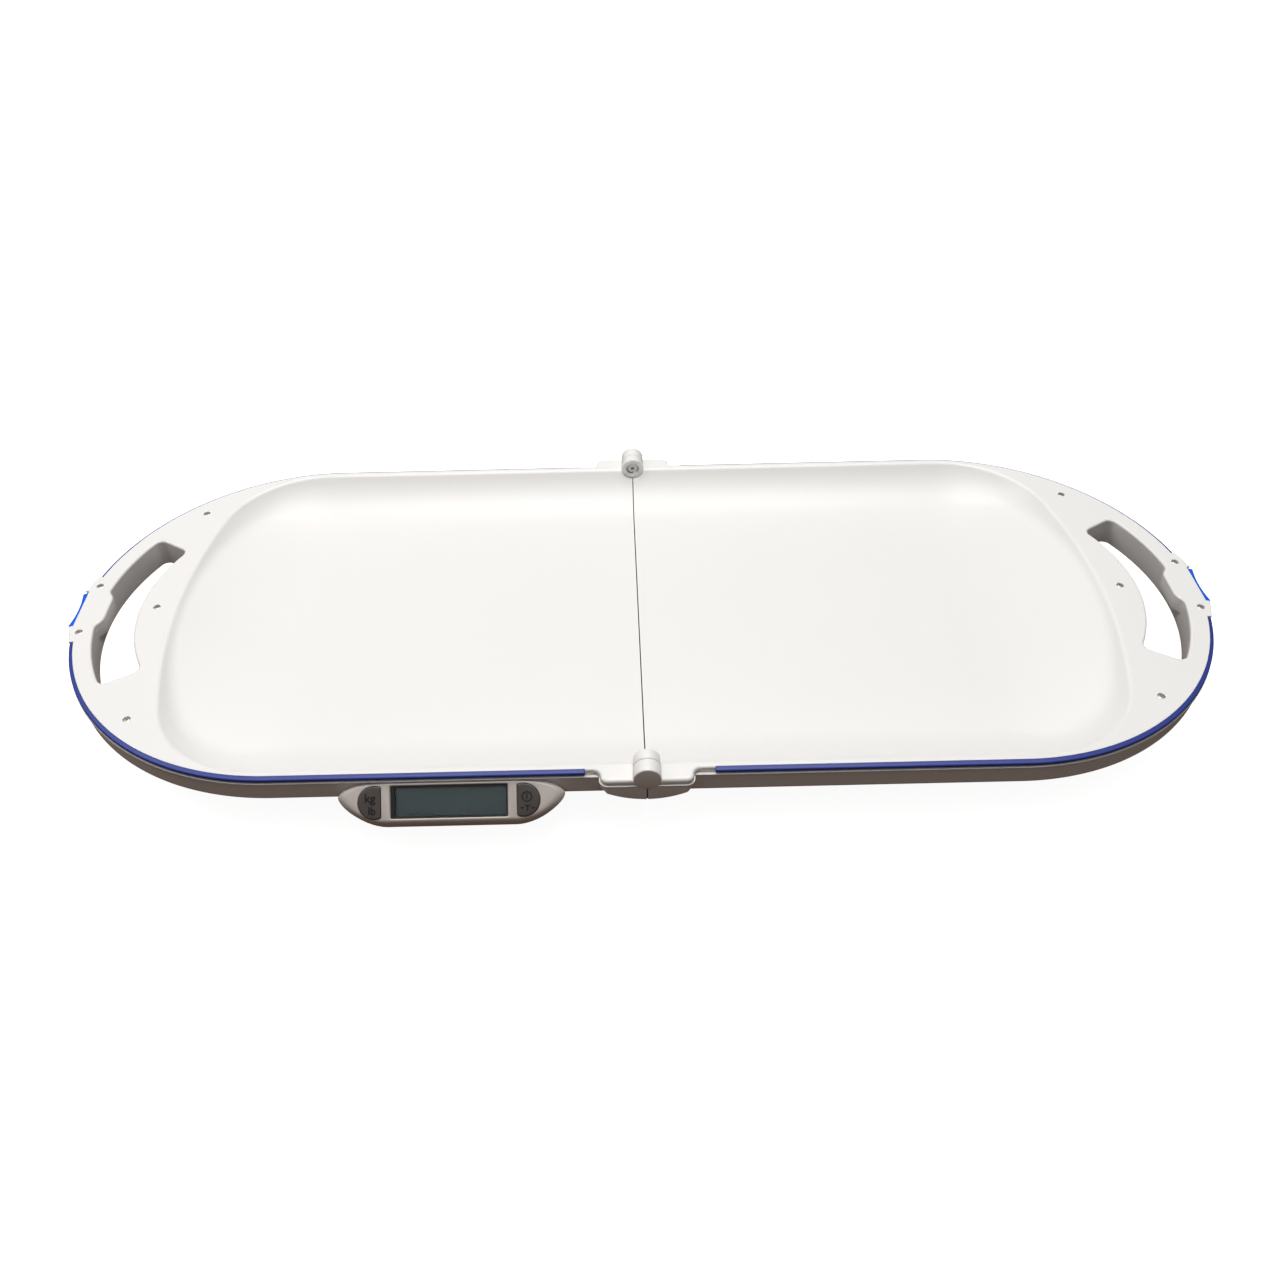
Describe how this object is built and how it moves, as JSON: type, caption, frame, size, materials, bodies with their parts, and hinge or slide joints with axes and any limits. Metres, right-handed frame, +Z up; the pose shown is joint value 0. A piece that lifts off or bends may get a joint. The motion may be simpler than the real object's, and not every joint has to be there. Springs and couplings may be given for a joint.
{
  "type": "folding digital baby scale",
  "caption": "Folding digital baby scale: half trays with handle holes, hinged across the middle, on load-cell feet, with a sloping display housing and keys at the front.",
  "frame": {"origin": "under the middle of the hinge, on the surface that the feet stand on", "axes": "+X along the tray, +Y to the back, away from the display, +Z up; the display is at -Y on the -X half"},
  "size_m": [0.872, 0.3856, 0.0712],
  "materials": {
    "white_plastic": "glossy white moulded plastic",
    "blue_trim": "satin dark blue soft plastic",
    "blue_latch": "glossy bright blue plastic",
    "screw_steel": "plated steel",
    "cell_aluminium": "bare aluminium alloy",
    "foot_rubber": "matt black rubber",
    "black_plastic": "matt black plastic",
    "circuit_board": "green glass-fibre laminate",
    "grey_pod": "satin warm silver-grey plastic",
    "display_glass": "clear lens over the display",
    "lcd_grey": "dark teal-grey display",
    "key_grey": "satin warm dark grey keys",
    "battery_jacket": "wrapped battery cells"
  },
  "bodies": {
    "left_half": {"upper_tray_left": "white_plastic", "lower_case_left": "white_plastic", "trim_strip_left_front": "blue_trim", "trim_strip_left_back": "blue_trim", "tray_screws_left": "screw_steel", "latch_spring_left": "screw_steel", "hinge_screw_back": "screw_steel", "load_cells_left": "cell_aluminium", "foot_cups_left": "white_plastic", "foot_pads_left": "foot_rubber", "wiring_left": "black_plastic", "main_board": "circuit_board", "board_screws": "screw_steel", "display_housing": "grey_pod", "window_frame": "black_plastic", "display_window": "display_glass", "lcd_module": "lcd_grey", "key_board": "circuit_board", "key_switches": "black_plastic", "key_spring_unit": "screw_steel", "key_spring_power": "screw_steel", "housing_screws": "screw_steel", "battery_tray": "black_plastic", "battery_cells": "battery_jacket", "battery_contacts": "screw_steel", "hinge_cap_front": "white_plastic"},
    "right_half": {"upper_tray_right": "white_plastic", "lower_case_right": "white_plastic", "trim_strip_right_front": "blue_trim", "trim_strip_right_back": "blue_trim", "tray_screws_right": "screw_steel", "latch_spring_right": "screw_steel", "hinge_pin_front": "screw_steel", "load_cells_right": "cell_aluminium", "foot_cups_right": "white_plastic", "foot_pads_right": "foot_rubber", "wiring_right": "black_plastic", "junction_board": "circuit_board"},
    "latch_left": {"latch_button_left": "blue_latch"},
    "latch_right": {"latch_button_right": "blue_latch"},
    "unit_button": {"unit_key": "key_grey"},
    "power_button": {"power_key": "key_grey"},
    "battery_cover": {"battery_door": "white_plastic"}
  },
  "joints": [
    {"name": "fold", "type": "hinge", "parent": "left_half", "child": "right_half", "pos_m": [0, 0, 0.062], "axis": [0, -1, 0], "range_deg": [0, 180]},
    {"name": "latch_left_press", "type": "slide", "parent": "left_half", "child": "latch_left", "axis": [1, 0, 0], "range_m": [0, 0.0035], "stiffness_N_per_m": 900, "deforming": ["latch_spring_left"]},
    {"name": "latch_right_press", "type": "slide", "parent": "right_half", "child": "latch_right", "axis": [-1, 0, 0], "range_m": [0, 0.0035], "stiffness_N_per_m": 900, "deforming": ["latch_spring_right"]},
    {"name": "unit_key_press", "type": "slide", "parent": "left_half", "child": "unit_button", "axis": [0, 0.7071, -0.7071], "range_m": [0, 0.0008], "stiffness_N_per_m": 600, "deforming": ["key_spring_unit"]},
    {"name": "power_key_press", "type": "slide", "parent": "left_half", "child": "power_button", "axis": [0, 0.7071, -0.7071], "range_m": [0, 0.0008], "stiffness_N_per_m": 600, "deforming": ["key_spring_power"]},
    {"name": "battery_door_slide", "type": "slide", "parent": "left_half", "child": "battery_cover", "axis": [1, 0, 0], "range_m": [0, 0.055]}
  ]
}
